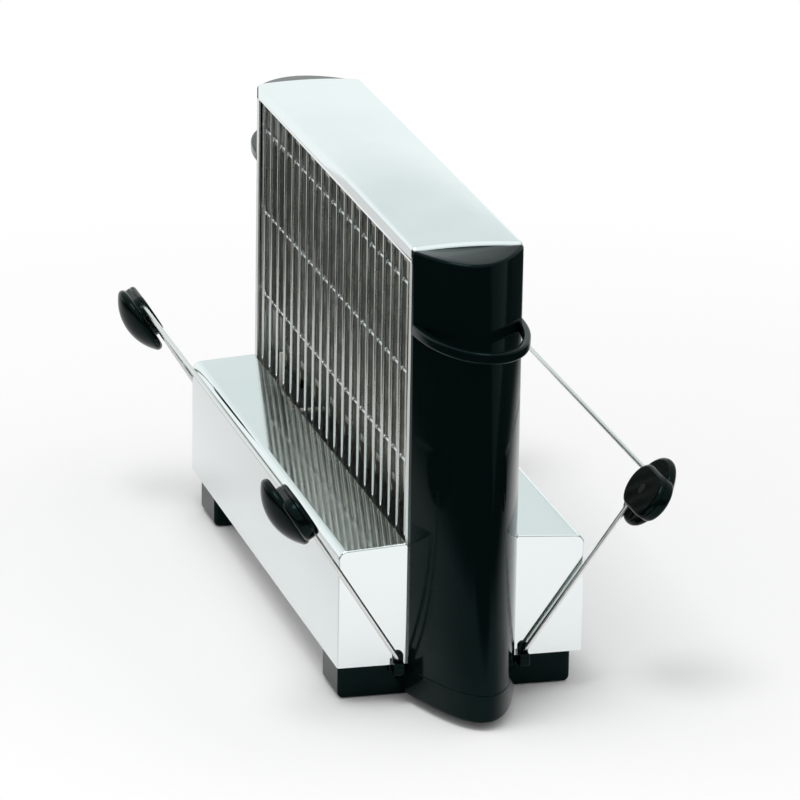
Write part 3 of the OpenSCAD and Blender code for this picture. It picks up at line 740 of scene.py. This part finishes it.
def grip_profile():
    """Domed disc with a round rim, as (radius, height) from the wire's plane outwards."""
    rim_r = GRIP_R - GRIP_RIM
    rim_h = GRIP_STAND + GRIP_RIM
    rise = GRIP_TOP - rim_h
    dome_r = (rim_r ** 2 + rise ** 2 - GRIP_RIM ** 2) / (2 * (rise - GRIP_RIM))
    meet = math.degrees(math.asin(rim_r / (dome_r - GRIP_RIM)))
    profile = [(0, GRIP_STAND)] + arc((rim_r, rim_h), GRIP_RIM, -90, 90 - meet, 10)
    return profile + arc((0, GRIP_TOP - dome_r), dome_r, 90 - meet, 90, 16)[1:]


def boss(place, up, out, end, levels):
    """Half of a boss round the wire's corner, reaching past the disc, through (height, inset) levels."""
    rings = []
    for height, inset in levels:
        radius = BOSS_R - inset
        outline = arc((BOSS_REACH, 0), radius, -90, 90, 20) + arc((0, 0), radius, 90, 270, 20)
        rings.append([place + Vector((0, end * b, 0)) + up * a + out * height for b, a in outline])
    return loft(rings)


def rack(side):
    """One bent wire with a domed grip and a clamp at both corners."""
    name = SIDE_NAMES[side]
    body = name + "_swing"
    low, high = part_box(name + "_rack")
    pivot = pivot_of(side)
    bar_x = (high.x - WIRE_R) if side == RIGHT else (low.x + WIRE_R)
    along = Vector((bar_x - pivot.x, 0, high.z - WIRE_R - pivot.z))
    reach = along.length
    up = along.normalized()
    out = Vector((0, side, 0)).cross(up)
    arm_y = high.y - WIRE_R
    pin_y = HALF_L - SHEET - PIN_IN

    def spot(y, rise):
        return pivot + Vector((0, y, 0)) + up * rise

    corners = [spot(-pin_y, 0), spot(-arm_y, 0), spot(-arm_y, reach)]
    corners += [spot(arm_y, reach), spot(arm_y, 0), spot(pin_y, 0)]
    wire = tube(fillet(corners, (PIN_BEND, BAR_BEND, BAR_BEND, PIN_BEND)), WIRE_R)
    piece(name + "_rack_wire", wire, "bright_wire", body, (name + "_rack",), sharp=60)
    edge = [(SEAM_GAP, BOSS_EASE), (SEAM_GAP + BOSS_EASE, 0)]
    for end in (FRONT, REAR):
        place = spot(end * arm_y, reach - GRIP_DROP)
        end_name = name + "_" + END_NAMES[end]
        levels = edge + [(BOSS_TOP + shift, inset) for shift, inset in bend_rings(BOSS_ROUND)]
        grip = join(lathe(grip_profile(), place, out, 96), boss(place, up, out, end, levels))
        piece(end_name + "_grip_disc", grip, "grip_gloss", body, (end_name + "_grip",), sharp=50)
        levels = edge + [(CLAMP_FACE + shift, inset) for shift, inset in bend_rings(BOSS_ROUND)]
        clamp = boss(place, up, -out, end, levels)
        piece(end_name + "_clamp", clamp, "grip_gloss", body, (name + "_clamps",), sharp=50)


def ridge_ring(centre, length, inset, reach):
    """Stadium outline of the knob's ridge, drawn in by an inset."""
    half = RIDGE_HALF - inset
    straight = length - RIDGE_HALF
    outline = arc((0, straight), half, 0, 180, 10) + arc((0, -straight), half, 180, 360, 10)
    return [centre + Vector((a, reach, b)) for a, b in outline]


def timer():
    """Round seat on the rear column, and the fluted knob with its ridge and pointer."""
    centre = Vector((0, HALF_L, TIMER_Z))
    outwards = (0, 1, 0)
    edge = (SEAT_R - SEAT_ROUND, SEAT_OUT - SEAT_ROUND)
    profile = [(0, SEAT_IN), (SEAT_R, SEAT_IN)] + arc(edge, SEAT_ROUND, 0, 90, 6)
    profile += [(SHAFT_HOLE, SEAT_OUT), (SHAFT_HOLE, SEAT_OUT - SEAT_ROUND), (0, SEAT_OUT - SEAT_ROUND)]
    piece("timer_seat", lathe(profile, centre, outwards), "black_gloss", "housing", sharp=40)

    radius = knob_high.x
    low = knob_low.y - HALF_L
    rim = (radius - KNOB_ROUND - KNOB_FLUTE_DEPTH, low + KNOB_DISC - KNOB_ROUND)
    profile = [(0, low), (radius - KNOB_ROUND, low, 0), (radius - KNOB_FLUTE_DEPTH, low + KNOB_ROUND, 1)]
    for i, (r, h) in enumerate(arc(rim, KNOB_ROUND, 0, 90, KNOB_STEPS)):
        profile.append((r, h, 1 - i / KNOB_STEPS))
    profile += [(0, low + KNOB_DISC)]
    disc = lathe(profile, centre, outwards, 8 * KNOB_FLUTES, KNOB_FLUTES, KNOB_FLUTE_DEPTH)
    top = knob_high.y - HALF_L
    length = radius - KNOB_ROUND
    levels = [(low + KNOB_DISC - KNOB_ROUND / 2, 0), (top - RIDGE_ROUND, 0)]
    levels += [(top + shift, inset) for shift, inset in bend_rings(RIDGE_ROUND)[1:]]
    ridge = loft([ridge_ring(centre, length, inset, reach) for reach, inset in levels])
    piece("timer_knob_disc", join(disc, ridge), "grip_gloss", "dial", ("timer_knob",), sharp=40)
    mark = []
    for reach in (top - SHEET, top + SEAM_GAP):
        outline = round_rect(MARK_HALF, MARK_REACH * length, MARK_ROUND, 3)
        mark.append([centre + Vector((a, reach, MARK_PLACE * length + b)) for a, b in outline])
    piece("timer_knob_mark", loft(mark), "case_plastic", "dial", sharp=40)


def carried_over():
    """CAD nodes that keep their shape get their slot's material and softly broken edges."""
    slots = {part["node"]: part["material_slot"] for part in frame["record"]["subparts"]}
    for name, node in frame["nodes"].items():
        node.data.materials.clear()
        node.data.materials.append(materials[slots[name]])
        weld = node.modifiers.new("weld", "WELD")
        weld.merge_threshold = MERGE
        ease = node.modifiers.new("ease", "BEVEL")
        ease.width = NODE_EASE
        ease.segments = 2
        ease.limit_method = "ANGLE"
        ease.angle_limit = NODE_EASE_ANGLE


# Camera, light and floor
CAMERA_AZIMUTH = math.radians(15.1157)
CAMERA_RISE = math.radians(17.7245)
CAMERA_ROLL = math.radians(0.93415)
CAMERA_DISTANCE = 2.75796
CAMERA_TARGET = Vector((0, 0, 0.1062))
TARGET_PIXEL = (381.188, 373.753)
PICTURE = 800
FOCAL_PIXELS = 6000
SENSOR = 36
CLIP_END = 50
LAMP_PLACE = Vector((-0.6, -0.4, 2.3))
LAMP_SIZE = 1.2
LAMP_WATTS = 20

# Colours of the surroundings
WHITE = (1, 1, 1)
AMBIENT = (0.74, 0.74, 0.74)
SKY = (0.95, 1.0, 1.0)
GLOOM = (0.02, 0.03, 0.03)
BAND = (0.62, 0.7, 0.69)

# Where the surroundings change, between two values of a direction's Y, Z, or Z with a share of its X
ROOM_FRONT = (0.4, 0.8)
ROOM_TOP = (0.15, 0.32)
BAND_FROM = (0.34, 0.42)
BAND_TO = (0.5, 0.7)
EDGE_FROM = (0.43, 0.442)
EDGE_LEAN = 0.68
EDGE_SHARE = 0.65

# Floor: where it fades to white, in radii, and where mirrors see it dark (axis, two strengths, two places)
FLOOR_R = 0.75
FLOOR_SIDES = 128
FLOOR_TONE = (0.96, 0.96, 0.96, 1)
FLOOR_FADE = (0.4, 0.95)
FLOOR_DARK = (
    ("X", 1, 0, -0.42, -0.2), ("X", 0.3, 0, -0.15, -0.04), ("X", 0, 1, 0.2, 0.42), ("Y", 1, 0, -0.6, -0.36),
)


def camera():
    """Camera at the photograph's place, with the target at its pixel."""
    a, e, r = CAMERA_AZIMUTH, CAMERA_RISE, CAMERA_ROLL
    ahead = Vector((math.sin(a) * math.cos(e), math.cos(a) * math.cos(e), -math.sin(e)))
    level = Vector((math.cos(a), -math.sin(a), 0))
    rise = level.cross(ahead)
    right = level * math.cos(r) + rise * math.sin(r)
    up = rise * math.cos(r) - level * math.sin(r)
    scale = CAMERA_DISTANCE / FOCAL_PIXELS
    place = CAMERA_TARGET - ahead * CAMERA_DISTANCE
    place -= right * ((TARGET_PIXEL[0] - PICTURE / 2) * scale)
    place -= up * ((PICTURE / 2 - TARGET_PIXEL[1]) * scale)
    data = bpy.data.cameras.new("camera")
    data.sensor_width = SENSOR
    data.lens = FOCAL_PIXELS * SENSOR / PICTURE
    data.clip_end = CLIP_END
    made = bpy.data.objects.new("camera", data)
    scene.collection.objects.link(made)
    made.matrix_world = Matrix.Translation(place) @ Matrix((right, up, -ahead)).transposed().to_4x4()
    scene.camera = made


def lamp():
    """One large soft lamp, high at the left of the front."""
    data = bpy.data.lights.new("soft_lamp", "AREA")
    data.shape = "DISK"
    data.size = LAMP_SIZE
    data.energy = LAMP_WATTS
    made = bpy.data.objects.new("soft_lamp", data)
    scene.collection.objects.link(made)
    made.location = LAMP_PLACE
    made.rotation_euler = (CAMERA_TARGET - LAMP_PLACE).to_track_quat("-Z", "Y").to_euler()


def math_node(tree, operation, first, second):
    """A product, sum or maximum of two values, each a constant or an output."""
    node = tree.nodes.new("ShaderNodeMath")
    node.operation = operation
    feed(tree, first, node.inputs[0])
    feed(tree, second, node.inputs[1])
    return node.outputs["Value"]


def mix_shader(tree, factor, first, second):
    """A blend of two shaders by a factor."""
    node = tree.nodes.new("ShaderNodeMixShader")
    for source, target in zip((factor, first, second), node.inputs):
        feed(tree, source, target)
    return node.outputs["Shader"]


def studio():
    """White surroundings; mirrors also see a dark room in front and a dim band with a leaning lower edge."""
    world = bpy.data.worlds.new("studio")
    scene.world = world
    world.use_nodes = True
    tree = world.node_tree
    place = tree.nodes.new("ShaderNodeTexCoord")
    parts = tree.nodes.new("ShaderNodeSeparateXYZ")
    feed(tree, place.outputs["Generated"], parts.inputs["Vector"])
    across, ahead, rise = (parts.outputs[axis] for axis in "XYZ")
    front = spread(tree, ahead, 1, 0, *ROOM_FRONT)
    room = math_node(tree, "MULTIPLY", front, spread(tree, rise, 1, 0, *ROOM_TOP))
    seen = two_tone(tree, room, SKY, GLOOM)
    slanted = math_node(tree, "ADD", math_node(tree, "MULTIPLY", across, EDGE_LEAN), rise)
    edge = spread(tree, slanted, 0, EDGE_SHARE, *EDGE_FROM)
    above = math_node(tree, "MAXIMUM", edge, spread(tree, rise, 0, 1, *BAND_FROM))
    band = math_node(tree, "MULTIPLY", above, spread(tree, rise, 1, 0, *BAND_TO))
    banded = two_tone(tree, band, seen, BAND)
    rays = tree.nodes.new("ShaderNodeLightPath")
    mirrored = math_node(tree, "MAXIMUM", rays.outputs["Is Glossy Ray"], rays.outputs["Is Transmission Ray"])
    lit = two_tone(tree, mirrored, AMBIENT, banded)
    shown = two_tone(tree, rays.outputs["Is Camera Ray"], lit, WHITE)
    feed(tree, shown, tree.nodes["Background"].inputs["Color"])


def floor_material():
    """Matt and pale, white at its rim, dark at its sides in mirrors only, and clear from below."""
    material, tree, shader = new_material("pale_floor", Roughness=0.9)
    shader.inputs["Base Color"].default_value = FLOOR_TONE
    shader.inputs["Specular IOR Level"].default_value = 0
    place = tree.nodes.new("ShaderNodeTexCoord")
    length = tree.nodes.new("ShaderNodeVectorMath")
    length.operation = "LENGTH"
    feed(tree, place.outputs["Object"], length.inputs[0])
    fade = spread(tree, length.outputs["Value"], 0, 1, *(share * FLOOR_R for share in FLOOR_FADE))
    glow = tree.nodes.new("ShaderNodeEmission")
    pale = mix_shader(tree, fade, shader.outputs["BSDF"], glow.outputs["Emission"])
    parts = tree.nodes.new("ShaderNodeSeparateXYZ")
    feed(tree, place.outputs["Object"], parts.inputs["Vector"])
    dark = 0
    for axis, *limits in FLOOR_DARK:
        dark = math_node(tree, "MAXIMUM", dark, spread(tree, parts.outputs[axis], *limits))
    rays = tree.nodes.new("ShaderNodeLightPath")
    shade = math_node(tree, "MULTIPLY", dark, rays.outputs["Is Glossy Ray"])
    gloom = tree.nodes.new("ShaderNodeEmission")
    gloom.inputs["Color"].default_value = (*GLOOM, 1)
    dimmed = mix_shader(tree, shade, pale, gloom.outputs["Emission"])
    facing = tree.nodes.new("ShaderNodeNewGeometry")
    clear = tree.nodes.new("ShaderNodeBsdfTransparent")
    upper = mix_shader(tree, facing.outputs["Backfacing"], dimmed, clear.outputs["BSDF"])
    feed(tree, upper, tree.nodes["Material Output"].inputs["Surface"])
    return material


def floor():
    """Pale round floor that passes into the white surroundings at its rim."""
    turns = [2 * math.pi * i / FLOOR_SIDES for i in range(FLOOR_SIDES)]
    rim = [(FLOOR_R * math.cos(a), FLOOR_R * math.sin(a), 0) for a in turns]
    mesh = bpy.data.meshes.new("floor")
    mesh.from_pydata(rim, [], [tuple(range(FLOOR_SIDES))])
    mesh.materials.append(floor_material())
    made = bpy.data.objects.new("floor", mesh)
    scene.collection.objects.link(made)


camera()
lamp()
studio()
floor()
carried_over()
sheet_metal()
end_mouldings()
for side in (LEFT, RIGHT):
    rack(side)
timer()
scene.view_settings.view_transform = "Standard"
